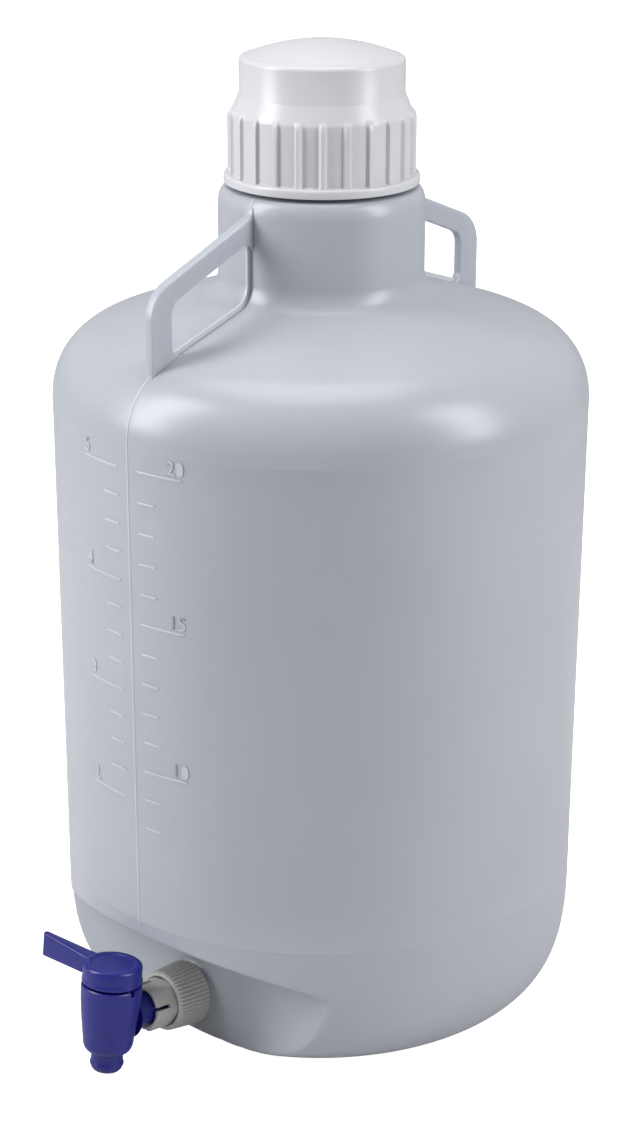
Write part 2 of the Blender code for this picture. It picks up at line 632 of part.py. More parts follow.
def valve_plug():
    """The core that shuts the tap. Its elbow port faces +X when the tap is shut."""
    foot = BARREL_FLOOR + GAP
    low = groove(BARREL_BORE, PLUG_RING, lower_ring_at)
    high = groove(BARREL_BORE, PLUG_RING, upper_ring_at)
    keep = BARREL_BORE + KEEP_RING
    outline = [(0, foot), (plug_r, foot), (plug_r, low[0][1]), *low, (plug_r, low[1][1]),
               (plug_r, high[0][1]), *high, (plug_r, high[1][1]), (plug_r, keep_low + GAP),
               (keep, keep_low + 2 * GAP), (keep, keep_high - GAP), (plug_r - 1, keep_high - GAP),
               (plug_r - 1, BARREL_TOP), (0, BARREL_TOP)]
    plug = place("valve_plug", lathe(outline, TAP_STEPS), plug_pe, turn=LEAN, origin=tap_place)
    long, wide = KEY_LENGTH / 2, KEY_WIDTH / 2
    key = [(-long, -wide), (long, -wide), (long, wide), (-long, wide)]
    tongue = prism(key, BARREL_TOP - 1, BARREL_TOP + KEY_HEIGHT)
    tongue = place("tool_key", tongue, turn=LEAN, origin=tap_place)
    combine(plug, tongue, "UNION")
    down = [(0, foot - 1), (PORT_R, foot - 1), (PORT_R, PORT_R * 0.8), (0, PORT_R * 0.8)]
    port = place("tool_port_down", lathe(down, RING_STEPS), turn=LEAN, origin=tap_place)
    combine(plug, port, "DIFFERENCE")
    back = -PORT_R / 3
    side = [(0, back), (PORT_R, back), (PORT_R, BARREL_BORE + 1), (0, BARREL_BORE + 1)]
    across = LEAN @ Matrix.Rotation(pi / 2, 4, "Y")
    port = place("tool_port_side", lathe(side, RING_STEPS), turn=across, origin=tap_place)
    combine(plug, port, "DIFFERENCE")


def lever_handle():
    """Knob and blade in one moulding, keyed on the plug."""
    foot = BARREL_TOP + LEVER_GAP
    top = foot + KNOB_HEIGHT
    r = BARREL_TOP_R
    knob = [(0, foot), (r - 0.8, foot), (r, foot + 0.8), (r, top - 1.5), (r - 1.5, top),
            (KNOB_DISH_R, top), (KNOB_DISH_R - KNOB_DISH, top - KNOB_DISH), (0, top - KNOB_DISH)]
    lever = place("lever_handle", lathe(knob, TAP_STEPS), tap_pp, turn=LEAN, origin=tap_place)

    half = LEVER_THICKNESS / 2
    reach = r + LEVER_BLEND
    foot_x = (reach ** 2 - (half + LEVER_BLEND) ** 2) ** 0.5
    turn = atan2(half + LEVER_BLEND, foot_x)
    centre = (-foot_x, half + LEVER_BLEND)
    near = arc(centre, LEVER_BLEND, -turn, -pi / 2)
    tip = arc((-LEVER_LENGTH + half, 0), half, pi / 2, 3 * pi / 2, 4)
    far = [(x, -y) for x, y in reversed(near)]
    inner = [(-r * 0.8 * cos(turn), -r * 0.8 * sin(turn)), (-r * 0.8 * cos(turn), r * 0.8 * sin(turn))]
    low = foot + 0.2
    blade = prism(near + tip + far + inner, low, top)
    for vert in blade.verts:
        if vert.co.z > (low + top) / 2 * MM:
            out = (-vert.co.x / MM - r) / (LEVER_LENGTH - r)
            vert.co.z += LEVER_LIFT * MM * max(0.0, out) - 0.01 * MM
    combine(lever, place("tool_blade", blade, turn=LEAN, origin=tap_place), "UNION")

    long, wide = KEY_LENGTH / 2 + GAP, KEY_WIDTH / 2 + GAP
    socket = [(-long, -wide), (long, -wide), (long, wide), (-long, wide)]
    high = BARREL_TOP + KEY_HEIGHT + GAP
    seat = place("tool_socket", prism(socket, foot - 1, high), turn=LEAN, origin=tap_place)
    combine(lever, seat, "DIFFERENCE")
    lug = arc((0, 0), stop_out, -STOP_HALF, STOP_HALF, 2)
    lug += arc((0, 0), BARREL_BORE + KEEP_RING + 2 * GAP, STOP_HALF, -STOP_HALF, 2)
    low = BARREL_TOP - STOP_HEIGHT + GAP
    combine(lever, place("tool_lug", prism(lug, low, foot + 1), turn=LEAN, origin=tap_place), "UNION")


carboy()
cap()
union_nut()
snap_collar()
o_ring("stem_o_ring", stem_seat, STEM_RING, stem_ring_at, OUTWARD, boss_place)
tap_body()
valve_plug()
o_ring("plug_o_ring_upper", BARREL_BORE, PLUG_RING, upper_ring_at, LEAN, tap_place)
o_ring("plug_o_ring_lower", BARREL_BORE, PLUG_RING, lower_ring_at, LEAN, tap_place)
lever_handle()
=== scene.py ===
from math import atan2, cos, hypot, pi, radians, sin, tan

import bpy
from mathutils import Matrix, Vector


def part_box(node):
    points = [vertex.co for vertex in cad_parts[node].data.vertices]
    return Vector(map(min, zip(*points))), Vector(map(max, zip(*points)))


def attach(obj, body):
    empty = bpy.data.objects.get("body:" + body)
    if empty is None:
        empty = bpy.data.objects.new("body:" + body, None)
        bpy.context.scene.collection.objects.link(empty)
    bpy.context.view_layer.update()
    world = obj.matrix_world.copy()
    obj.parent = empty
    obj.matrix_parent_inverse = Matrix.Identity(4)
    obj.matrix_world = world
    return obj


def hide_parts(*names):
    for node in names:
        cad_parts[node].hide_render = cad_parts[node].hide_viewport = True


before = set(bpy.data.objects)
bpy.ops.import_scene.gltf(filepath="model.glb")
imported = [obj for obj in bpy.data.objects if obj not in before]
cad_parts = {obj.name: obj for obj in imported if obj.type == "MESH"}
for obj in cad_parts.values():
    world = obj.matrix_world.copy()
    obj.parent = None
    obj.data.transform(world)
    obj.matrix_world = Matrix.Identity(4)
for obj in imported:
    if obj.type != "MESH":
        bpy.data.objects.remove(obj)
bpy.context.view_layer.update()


# Tank: one blow-moulded shell of natural polypropylene with walls of about 3 mm. A flat panel that leans
# back, under a sloping ceiling, is pressed into its foot for the tap. Fine seams show where the mould's
# parts met.
MM = 0.001
TANK_SIDES = 320
WALL = 3.2
tank_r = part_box("carboy_body")[1].x / MM
neck_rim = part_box("carboy_body")[1].z / MM
collar_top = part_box("screw_cap")[0].z / MM - 2.0
LOWER_SEAM = 79.5
UPPER_SEAM = 343.2
FOOT_R = 80.0
BASE_CURVE = 3.35
TANK_TAPER = 1.7
SHOULDER_RUN = 42.2
SHOULDER_RISE = 39.9
SHOULDER_CURVE = 2.15
SHOULDER_END = radians(72)
CONE_SLOPE = radians(18)
COLLAR_R = 54.3
COLLAR_FILLET = 13.0
NECK_R = 39.0
SEAM_HEIGHT = 0.15
SEAM_HALF = 0.6
COLLAR_ROUND = 4.5
COLLAR_DROP = 9
PAD_R = 29
RING_INNER_R = 75
UNDERCUT = 2.5
BASE_STEP = 1.2
lower_r = tank_r - TANK_TAPER


def only(piece):
    """Selects one piece and nothing else."""
    bpy.ops.object.select_all(action="DESELECT")
    piece.select_set(True)
    bpy.context.view_layer.objects.active = piece


def apply_all(piece):
    """Applies every modifier on a piece."""
    only(piece)
    for step in list(piece.modifiers):
        bpy.ops.object.modifier_apply(modifier=step.name)


def smooth(piece, angle=35):
    """Shades a piece smooth up to an angle in degrees."""
    only(piece)
    bpy.ops.object.shade_smooth_by_angle(angle=radians(angle))


def close_mesh(piece):
    """Fills every open ring and turns the faces outwards."""
    only(piece)
    bpy.ops.object.mode_set(mode="EDIT")
    bpy.ops.mesh.select_all(action="SELECT")
    bpy.ops.mesh.fill_holes(sides=0)
    bpy.ops.mesh.select_all(action="SELECT")
    bpy.ops.mesh.normals_make_consistent(inside=False)
    bpy.ops.object.mode_set(mode="OBJECT")


def turned(name, sides, rings):
    """A round shell: a circle drawn out from ring to ring, each (radius, height) in millimetres.
    A last radius of 0 closes the shell on its axis."""
    radius, height = rings[0]
    bpy.ops.object.select_all(action="DESELECT")
    bpy.ops.mesh.primitive_circle_add(vertices=sides, radius=radius * MM, location=(0, 0, height * MM))
    piece = bpy.context.object
    piece.name = name
    bpy.ops.object.transform_apply(location=True, rotation=True, scale=True)
    bpy.ops.object.mode_set(mode="EDIT")
    bpy.ops.mesh.select_all(action="SELECT")
    for ring_r, ring_z in rings[1:]:
        bpy.ops.mesh.extrude_region_move(TRANSFORM_OT_translate={"value": (0, 0, (ring_z - height) * MM)})
        if ring_r == 0:
            bpy.ops.mesh.merge(type="CENTER")
        elif ring_r != radius:
            share = ring_r / radius
            bpy.ops.transform.resize(value=(share, share, 1), center_override=(0, 0, ring_z * MM))
        radius, height = ring_r, ring_z
    bpy.ops.mesh.select_all(action="SELECT")
    bpy.ops.mesh.normals_make_consistent(inside=False)
    bpy.ops.object.mode_set(mode="OBJECT")
    return piece


def arc(centre, radius, start, end, steps):
    """Points of a round stretch, both ends included."""
    turns = [start + (end - start) * i / steps for i in range(steps + 1)]
    return [(centre[0] + radius * cos(turn), centre[1] + radius * sin(turn)) for turn in turns]


def fillet(before, corner, after, radius, steps=8):
    """The round that joins two straight runs at their corner."""
    corner = Vector(corner)
    one = (Vector(before) - corner).normalized()
    two = (Vector(after) - corner).normalized()
    half = one.angle(two) / 2
    centre = corner + (one + two).normalized() * radius / sin(half)
    first = corner + one * radius / tan(half) - centre
    last = corner + two * radius / tan(half) - centre
    start = atan2(first.y, first.x)
    sweep = (atan2(last.y, last.x) - start + pi) % (2 * pi) - pi
    return arc(centre, radius, start, start + sweep, steps)


def base_radius(height):
    """The rounded foot's radius at a height above the floor."""
    drop = (LOWER_SEAM - height) / LOWER_SEAM
    return FOOT_R + (lower_r - FOOT_R) * (1 - drop ** BASE_CURVE) ** (1 / BASE_CURVE)


def seam(radius, height):
    """A fine ridge round the wall."""
    return [(radius, height - SEAM_HALF), (radius + SEAM_HEIGHT, height), (radius, height + SEAM_HALF)]


base_heights = [BASE_STEP * share for share in (0.02, 0.08, 0.2, 0.45, 0.8, 1.3, 2, 3)]
base_heights += [BASE_STEP * step for step in range(4, int(LOWER_SEAM / BASE_STEP))]
base = [(FOOT_R, 0)] + [(base_radius(height), height) for height in base_heights]
shoulder_turns = [SHOULDER_END * i / 18 for i in range(1, 19)]
shoulder = [(tank_r - SHOULDER_RUN * (1 - cos(turn) ** (2 / SHOULDER_CURVE)),
             UPPER_SEAM + SHOULDER_RISE * sin(turn) ** (2 / SHOULDER_CURVE)) for turn in shoulder_turns]
cone_r, cone_z = shoulder[-1]
collar_foot = cone_z + (cone_r - COLLAR_R) * tan(CONE_SLOPE)
collar_root = fillet((cone_r, cone_z), (COLLAR_R, collar_foot), (COLLAR_R, collar_top), COLLAR_FILLET, 10)
collar_round = [(COLLAR_R - COLLAR_ROUND + COLLAR_ROUND * cos(turn),
                 collar_top - COLLAR_DROP + COLLAR_DROP * sin(turn))
                for turn in [pi / 2 * i / 8 for i in range(9)]]
side_heights = [LOWER_SEAM + (UPPER_SEAM - LOWER_SEAM) * i / 12 for i in range(1, 12)]
side = [(lower_r + TANK_TAPER * (height - LOWER_SEAM) / (UPPER_SEAM - LOWER_SEAM), height)
        for height in side_heights]
skin = seam(lower_r, LOWER_SEAM) + side + seam(tank_r, UPPER_SEAM) + shoulder + collar_root + collar_round
underside = [(2, 0), (15, 0), (PAD_R, 0), (PAD_R + 1, 0.4), (PAD_R + 3, UNDERCUT), (52, UNDERCUT)]
underside += [(RING_INNER_R - 3, UNDERCUT), (RING_INNER_R - 1, 0.4), (RING_INNER_R, 0)]
finish = [(NECK_R + 2, collar_top), (NECK_R + 0.6, collar_top + 0.5), (NECK_R, collar_top + 1.6)]
finish += [(NECK_R, collar_top + 18), (NECK_R, neck_rim - 1.2), (NECK_R - 0.4, neck_rim - 0.3)]
finish += [(NECK_R - 1.2, neck_rim)]
tank = turned("tank_shell", TANK_SIDES, underside + base + skin + finish)

# The panel and its ceiling. Both follow from the way the tap points: 6.5 degrees up, square to the panel.
TAP_TILT = radians(6.5)
PANEL_Y = 102.8
TAP_Z = 22.7
CEILING_Z = 52.1
CEILING_SLOPE = 0.455
LIP_ROUND = 2.5
CORNER_ROUND = 9.0


def blend_down(one, two, width):
    """The smaller of two values, with a round change from one to the other."""
    overlap = max(width - abs(one - two), 0) / width
    return min(one, two) - overlap ** 2 * width / 4


def recess_depth(height):
    """How far in front of the tank's axis the panel and its ceiling lie at a height."""
    panel = PANEL_Y - (height - TAP_Z) * tan(TAP_TILT)
    ceiling = PANEL_Y - (CEILING_Z - TAP_Z) * tan(TAP_TILT) + (height - CEILING_Z) / CEILING_SLOPE
    return -blend_down(-panel, -ceiling, CORNER_ROUND)


for vert in tank.data.vertices:
    x, y, z = vert.co / MM
    radius = hypot(x, y)
    facing = -y / radius
    if facing > 0.3 and z < LOWER_SEAM - 1 and radius > FOOT_R - 1:
        share = blend_down(radius, recess_depth(z) / facing, LIP_ROUND) / radius
        vert.co.x *= share
        vert.co.y *= share

wall = tank.modifiers.new("wall", "SOLIDIFY")
wall.thickness = WALL * MM
wall.offset = -1
apply_all(tank)
close_mesh(tank)
smooth(tank, 50)


def linear(hex_colour):
    """An sRGB hex colour as Blender's linear red, green and blue, with alpha."""
    parts = [int(hex_colour[i:i + 2], 16) / 255 for i in (1, 3, 5)]
    return [part / 12.92 if part <= 0.04045 else ((part + 0.055) / 1.055) ** 2.4 for part in parts] + [1.0]


def add_node(made, kind, settings=(), links=()):
    """Adds a node. Settings are its properties or its sockets' values, links join a socket to its source."""
    node = made.node_tree.nodes.new(kind)
    for key, value in dict(settings).items():
        if isinstance(key, str) and hasattr(node, key):
            setattr(node, key, value)
        else:
            node.inputs[key].default_value = value
    for key, source in dict(links).items():
        made.node_tree.links.new(source, node.inputs[key])
    return node


def plastic(name, shades, roughness, grain_mm, grain_height, soften=0.0, soften_mm=4.0, sheen_spread=0.06):
    """A moulded plastic: two close shades in slow clouds, a fine skin from the mould, and soft edges where
    some of the light passes into the wall."""
    made = bpy.data.materials.new(name)
    made.use_nodes = True
    nodes, links = made.node_tree.nodes, made.node_tree.links
    shader = nodes["Principled BSDF"]
    place = add_node(made, "ShaderNodeTexCoord")
    clouds = add_node(made, "ShaderNodeTexNoise", {"Scale": 14.0, "Detail": 3.0, "Roughness": 0.5},
                      {"Vector": place.outputs["Object"]})
    ramp = add_node(made, "ShaderNodeValToRGB", {}, {"Fac": clouds.outputs["Fac"]})
    ramp.color_ramp.elements[0].position = 0.35
    ramp.color_ramp.elements[0].color = linear(shades[0])
    ramp.color_ramp.elements[1].position = 0.65
    ramp.color_ramp.elements[1].color = linear(shades[1])
    links.new(ramp.outputs["Color"], shader.inputs["Base Color"])
    patches = add_node(made, "ShaderNodeTexNoise", {"Scale": 45.0, "Detail": 4.0},
                       {"Vector": place.outputs["Object"]})
    gloss = add_node(made, "ShaderNodeMapRange", {"To Min": roughness - sheen_spread / 2,
                                                  "To Max": roughness + sheen_spread / 2},
                     {"Value": patches.outputs["Fac"]})
    links.new(gloss.outputs["Result"], shader.inputs["Roughness"])
    grain = add_node(made, "ShaderNodeTexNoise", {"Scale": 1.0 / (grain_mm * MM), "Detail": 2.0},
                     {"Vector": place.outputs["Object"]})
    skin_bump = add_node(made, "ShaderNodeBump", {"Strength": 0.5, "Distance": grain_height * MM},
                         {"Height": grain.outputs["Fac"]})
    links.new(skin_bump.outputs["Normal"], shader.inputs["Normal"])
    shader.inputs["IOR"].default_value = 1.49
    if soften:
        shader.inputs["Subsurface Weight"].default_value = soften
        shader.inputs["Subsurface Scale"].default_value = soften_mm * MM
        shader.inputs["Subsurface Radius"].default_value = (1.0, 1.0, 1.1)
    return made


def finish_piece(piece, made, body, slot, *nodes):
    """Gives a piece its material, ties it to its body and hides the solids it stands for. The slot is not
    used.
    """
    piece.data.materials.clear()
    piece.data.materials.append(made)
    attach(piece, body)
    if nodes:
        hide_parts(*nodes)


# Natural polypropylene, blow moulded: milky blue-grey, satin outside, with a slight orange peel from the
# mould.
tank_plastic = plastic("natural_polypropylene_blow_moulded", ("#A3A7AF", "#A5A9B1"), 0.31, 1.1, 0.06,
                       soften=0.35, soften_mm=9.0, sheen_spread=0.02)
finish_piece(tank, tank_plastic, "tank", "tank_plastic", "carboy_body")

# The same polypropylene where it stands out as a thin ridge, with too little of it for light to spread in.
# Its shades are painted lighter than the tank's, a painted highlight so that the ridges, webs and marks show
# as light lines.
ridge_plastic_painted_highlight = plastic("natural_polypropylene_ridge_painted_highlight", ("#B6BAC1", "#BCC0C7"), 0.32, 1.1, 0.04)


# Parting line: the thin ridge that the two halves of the mould leave up the tank's front and back,
# over the shoulder and up the collar. It stands a quarter of a millimetre out of the wall.
LINE_WIDTH = 1.4
LINE_HEIGHT = 0.25
LINE_FOOT = 76.0
UPRIGHT = Matrix(((0, 0, 1, 0), (1, 0, 0, 0), (0, 1, 0, 0), (0, 0, 0, 1)))  # lays an outline in (y, z)


def slab(name, outline, low, high, turn=None):
    """A flat piece: a closed outline in millimetres, drawn up from low to high, then turned into place."""
    bpy.ops.object.select_all(action="DESELECT")
    bpy.ops.mesh.primitive_circle_add(vertices=len(outline), radius=MM, fill_type="NGON",
                                      location=(0, 0, 0))
    piece = bpy.context.object
    piece.name = name
    for vert, (x, y) in zip(piece.data.vertices, outline):
        vert.co = Vector((x, y, low)) * MM
    bpy.ops.object.mode_set(mode="EDIT")
    bpy.ops.mesh.select_all(action="SELECT")
    bpy.ops.mesh.extrude_region_move(TRANSFORM_OT_translate={"value": (0, 0, (high - low) * MM)})
    bpy.ops.mesh.select_all(action="SELECT")
    bpy.ops.mesh.normals_make_consistent(inside=False)
    bpy.ops.object.mode_set(mode="OBJECT")
    close_mesh(piece)
    if turn:
        piece.data.transform(turn)
        close_mesh(piece)
    return piece


def follow(run, depth):
    """An open run of (radius, height) points moved out of the wall by depth."""
    moved = []
    for i, (r, z) in enumerate(run):
        r0, z0 = run[max(i - 1, 0)]
        r1, z1 = run[min(i + 1, len(run) - 1)]
        length = hypot(r1 - r0, z1 - z0)
        moved.append((r + depth * (z1 - z0) / length, z - depth * (r1 - r0) / length))
    return moved


def joined(name, pieces):
    """Joins several pieces into one, under one name."""
    bpy.ops.object.select_all(action="DESELECT")
    for piece in pieces:
        piece.select_set(True)
    bpy.context.view_layer.objects.active = pieces[0]
    bpy.ops.object.join()
    pieces[0].name = name
    return pieces[0]


def soften_edges(piece, width, segments, angle):
    """Rounds every edge sharper than the angle with a Bevel modifier, and shades the piece smooth."""
    edge = piece.modifiers.new("edge", "BEVEL")
    edge.width = width * MM
    edge.segments = segments
    edge.limit_method = "ANGLE"
    edge.angle_limit = radians(angle)
    apply_all(piece)
    smooth(piece, angle)


plain_side = [(lower_r, LINE_FOOT)] + [(lower_r, LOWER_SEAM)] + side + [(tank_r, UPPER_SEAM)]
line_run = plain_side + shoulder + collar_root + collar_round[:-1]
line_section = follow(line_run, LINE_HEIGHT) + follow(line_run, -1.0)[::-1]
for name, way in (("front", -1), ("rear", 1)):
    ridge = slab(f"parting_line_{name}", [(way * r, z) for r, z in line_section],
                 -LINE_WIDTH / 2, LINE_WIDTH / 2, UPRIGHT)
    soften_edges(ridge, 0.5, 3, 60)
    finish_piece(ridge, ridge_plastic_painted_highlight, "tank", "tank_plastic")


# Handles: two solid straps in the plane of the mould's parting, from the collar out and down to the
# shoulder, moulded in one with the tank. A thin web of flash runs along the tank under each.
POST_R = 126.8
POST_WIDTH = 14.5
ARM_TOP = 446.5
ARM_SLOPE = 0.4028
ARM_WIDTH = 11.5
OUTER_BEND = 20.0
INNER_BEND = 9.0
STRAP_THICKNESS = 5.4
STRAP_ROUND = 1.9
ROOT_FLARE = 5.0


def skin_height(radius):
    """The height of the tank's skin at a radius, on the shoulder or on the cone."""
    run = [(tank_r, UPPER_SEAM)] + shoulder
    for (r0, z0), (r1, z1) in zip(run, run[1:]):
        if r1 <= radius <= r0:
            return z0 + (z1 - z0) * (r0 - radius) / (r0 - r1)
    return cone_z + (cone_r - radius) * tan(CONE_SLOPE)


arm_drop = ARM_WIDTH * hypot(1, ARM_SLOPE)
bend = (POST_R, ARM_TOP - ARM_SLOPE * (POST_R - COLLAR_R))
inner_r = POST_R - POST_WIDTH
inner_bend = (inner_r, ARM_TOP - arm_drop - ARM_SLOPE * (inner_r - COLLAR_R))
post_foot = skin_height(POST_R)
inner_foot = skin_height(inner_r)
collar_top_root = (COLLAR_R, ARM_TOP)
collar_low_root = (COLLAR_R, ARM_TOP - arm_drop)
strap = [(COLLAR_R - 2.5, ARM_TOP + ROOT_FLARE)]
strap += fillet((COLLAR_R, ARM_TOP + 20), collar_top_root, bend, ROOT_FLARE, 5)
strap += fillet(collar_top_root, bend, (POST_R, post_foot), OUTER_BEND, 12)
strap += fillet(bend, (POST_R, post_foot), (POST_R + 20, skin_height(POST_R + 12) - 10), ROOT_FLARE, 5)
strap += [(POST_R + 4, post_foot - 8), (inner_r - 5, inner_foot - 3)]
strap += fillet((inner_r - 20, skin_height(inner_r - 20)), (inner_r, inner_foot), inner_bend, ROOT_FLARE, 5)
strap += fillet((inner_r, inner_foot), inner_bend, collar_low_root, INNER_BEND, 8)
strap += fillet(inner_bend, collar_low_root, (COLLAR_R, ARM_TOP - 40), ROOT_FLARE, 5)
strap += [(COLLAR_R - 2.5, ARM_TOP - arm_drop - ROOT_FLARE)]

WEB_HEIGHT = 2.4
WEB_THICKNESS = 1.4
web_run = [(inner_r + 2, skin_height(inner_r + 2)), (cone_r, cone_z)] + collar_root[1:]
web_run += [(COLLAR_R, ARM_TOP - arm_drop)]
web_section = follow(web_run, WEB_HEIGHT) + follow(web_run, -1.0)[::-1]
for name, way in (("front", -1), ("rear", 1)):
    handle = slab(f"handle_{name}", [(way * r, z) for r, z in strap],
                  -STRAP_THICKNESS / 2, STRAP_THICKNESS / 2, UPRIGHT)
    soften_edges(handle, STRAP_ROUND, 5, 60)
    finish_piece(handle, tank_plastic, "tank", "tank_plastic")
    web = slab(f"handle_web_{name}", [(way * r, z) for r, z in web_section],
               -WEB_THICKNESS / 2, WEB_THICKNESS / 2, UPRIGHT)
    smooth(web)
    finish_piece(web, ridge_plastic_painted_highlight, "tank", "tank_plastic")


# Volume marks: raised lines and figures moulded on the front, US gallons with quarters on one side of the
# parting line and litres on the other. They stand 0.4 mm out of the wall.
MARK_HEIGHT = 0.4
MARK_WIDTH = 1.1
GALLON_STEP = 60.5
FIRST_GALLON = 150.2
LITRE_STEP = 16.3
TOP_LITRES = 332.0
NEAR = 7.0
GALLON_SHORT = 18.5
GALLON_LONG = 36.0
LITRE_SHORT = 18.0
LITRE_LONG = 35.0
FIGURE_SIZE = 10.5


def side_radius(height):
    """The tank's radius at a height on its slightly tapered side."""
    return lower_r + TANK_TAPER * (height - LOWER_SEAM) / (UPPER_SEAM - LOWER_SEAM)


def wrapped(piece):
    """Lays a flat piece on the tank: x goes round from the front, y stands out of the wall, z stays."""
    for vert in piece.data.vertices:
        across, out, up = vert.co / MM
        turn = across / tank_r
        reach = side_radius(up) - out
        vert.co = Vector((reach * sin(turn), -reach * cos(turn), up)) * MM
    close_mesh(piece)


def tick(start, end, height):
    """A raised line with a soft ridge, cut into short lengths so that it can bend."""
    bpy.ops.object.select_all(action="DESELECT")
    bpy.ops.mesh.primitive_cube_add(size=1, location=((start + end) / 2 * MM, 0, height * MM),
                                    scale=(abs(end - start) * MM, 2 * MARK_HEIGHT * MM, MARK_WIDTH * MM))
    bpy.ops.object.transform_apply(location=True, rotation=True, scale=True)
    line = bpy.context.object
    bpy.ops.object.mode_set(mode="EDIT")
    bpy.ops.mesh.select_all(action="SELECT")
    bpy.ops.mesh.bevel(offset=0.3 * MM, segments=2)
    for cut in range(1, 6):
        share = start + (end - start) * cut / 6
        bpy.ops.mesh.select_all(action="SELECT")
        bpy.ops.mesh.bisect(plane_co=(share * MM, 0, 0), plane_no=(1, 0, 0))
    bpy.ops.object.mode_set(mode="OBJECT")
    return line


def figure(text, across, height):
    """A raised figure whose foot stands at a height."""
    bpy.ops.object.select_all(action="DESELECT")
    bpy.ops.object.text_add(location=(across * MM, 0, height * MM), rotation=(pi / 2, 0, 0))
    word = bpy.context.object
    word.data.body = text
    word.data.align_x = "CENTER"
    word.data.size = FIGURE_SIZE * MM
    word.data.extrude = MARK_HEIGHT * MM
    word.data.resolution_u = 6
    bpy.ops.object.convert(target="MESH")
    bpy.ops.object.transform_apply(location=True, rotation=True, scale=True)
    return bpy.context.object


marks = []
for quarter in range(0, 13):
    height = FIRST_GALLON + GALLON_STEP * quarter / 4
    whole = quarter % 4 == 0
    marks.append(tick(-NEAR, -(GALLON_LONG if whole else GALLON_SHORT), height))
    if whole:
        marks.append(figure(str(2 + quarter // 4), -GALLON_LONG + 3, height + 2.2))
for litre in range(0, 13):
    height = TOP_LITRES - LITRE_STEP * litre
    whole = litre % 5 == 0
    marks.append(tick(NEAR, LITRE_LONG if whole else LITRE_SHORT, height))
    if whole:
        marks.append(figure(str(20 - litre), LITRE_LONG - 4, height + 2.2))
volume_marks = joined("volume_marks", marks)
wrapped(volume_marks)
smooth(volume_marks, 40)
finish_piece(volume_marks, ridge_plastic_painted_highlight, "tank", "tank_plastic")


# Neck thread: the coarse two-start ridge that the cap turns on, moulded round the neck finish.
THREAD_LEAD = 12.0
THREAD_HEIGHT = 2.6
THREAD_FOOT = neck_rim - 23.3


def helix(name, inner_r, outer_r, root_half, crest_half, foot, start_turn, turns):
    """A ridge that winds up between two radii: its section is swept by a Screw modifier."""
    bpy.ops.object.select_all(action="DESELECT")
    bpy.ops.mesh.primitive_plane_add(size=1, location=(0, 0, 0))
    ridge = bpy.context.object
    ridge.name = name
    corners = [(inner_r, -root_half), (outer_r, -crest_half), (inner_r, root_half), (outer_r, crest_half)]
    for vert, (r, z) in zip(ridge.data.vertices, corners):
        vert.co = Vector((r, 0, z + foot)) * MM
    wind = ridge.modifiers.new("wind", "SCREW")
    wind.angle = 2 * pi * turns
    wind.screw_offset = THREAD_LEAD * turns * MM
    wind.steps = wind.render_steps = int(72 * turns)
    wind.use_merge_vertices = False
    apply_all(ridge)
    ridge.data.transform(Matrix.Rotation(start_turn, 4, "Z"))
    close_mesh(ridge)
    smooth(ridge)
    return ridge


neck_ridges = [helix(f"thread_{start}", NECK_R - 0.8, NECK_R + THREAD_HEIGHT, 1.5, 0.7, THREAD_FOOT,
                     pi * start, 1.2) for start in range(2)]
neck_thread = joined("neck_thread", neck_ridges)
finish_piece(neck_thread, tank_plastic, "tank", "tank_plastic")


# Screw cap: white injection-moulded polypropylene with 24 grip ribs, a flange at its foot and a domed
# crown. It winds down on the neck thread with a silicone gasket under its land.
CAP_SIDES = 480
RIB_COUNT = 24
RIB_TURN = radians(-2)
RIB_WIDTH = 3.8
RIB_CREST = 49.0
RIB_END = 4.5
RIB_EDGE = 0.9
CAP_LAND = 47.3
CAP_BORE = 43.0
FLANGE_R = 51.2
FLANGE_TOP = 5.0
CROWN_R = 43.0
CROWN_BORE = 37.5
CROWN_ROUND = 2.5
CROWN_DOME = 7.9
CHAMFER = 10.0
CROWN_HEIGHT = 18.7
cap_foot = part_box("screw_cap")[0].z / MM
seal_z = neck_rim + 2.8
crown_foot = seal_z + CHAMFER
crown_top = crown_foot + CROWN_HEIGHT

cap_inside = [(0.5, crown_top - 3.5 + CROWN_DOME), (20, crown_top - 3.5 + CROWN_DOME * 0.75),
              (CROWN_BORE - 1.5, crown_top - 3.5), (CROWN_BORE, crown_top - 5), (CROWN_BORE, seal_z),
              (CAP_BORE, seal_z), (CAP_BORE, cap_foot + 0.6), (CAP_BORE + 0.6, cap_foot)]
cap_flange = [(FLANGE_R - 0.9, cap_foot), (FLANGE_R - 0.2, cap_foot + 0.3), (FLANGE_R, cap_foot + 1)]
cap_flange += [(FLANGE_R, cap_foot + 3.5)] + arc((FLANGE_R - 1.5, cap_foot + 3.5), 1.5, pi / 10, pi / 2, 4)
cap_flange += [(CAP_LAND + 0.6, cap_foot + FLANGE_TOP), (CAP_LAND, cap_foot + FLANGE_TOP + 0.6)]
land_foot = cap_foot + FLANGE_TOP + 0.6
land_rows = [land_foot + (seal_z - cap_foot - FLANGE_TOP - 1.6) * i / 22 for i in range(1, 23)]
chamfer_rows = [(CAP_LAND - (CAP_LAND - CROWN_R) * i / 12, seal_z + CHAMFER * i / 12) for i in range(13)]
crown = arc((CROWN_R - CROWN_ROUND, crown_top - CROWN_ROUND), CROWN_ROUND, 0, pi / 2, 6)
crown += [(CROWN_R - CROWN_ROUND - i * (CROWN_R - CROWN_ROUND) / 12,
           crown_top + CROWN_DOME * (1 - (1 - i / 12) ** 2)) for i in range(1, 12)]
cap_rings = cap_inside + cap_flange + [(CAP_LAND, z) for z in land_rows] + chamfer_rows + crown
cap = turned("cap_shell", CAP_SIDES, cap_rings + [(0, crown_top + CROWN_DOME)])
close_mesh(cap)


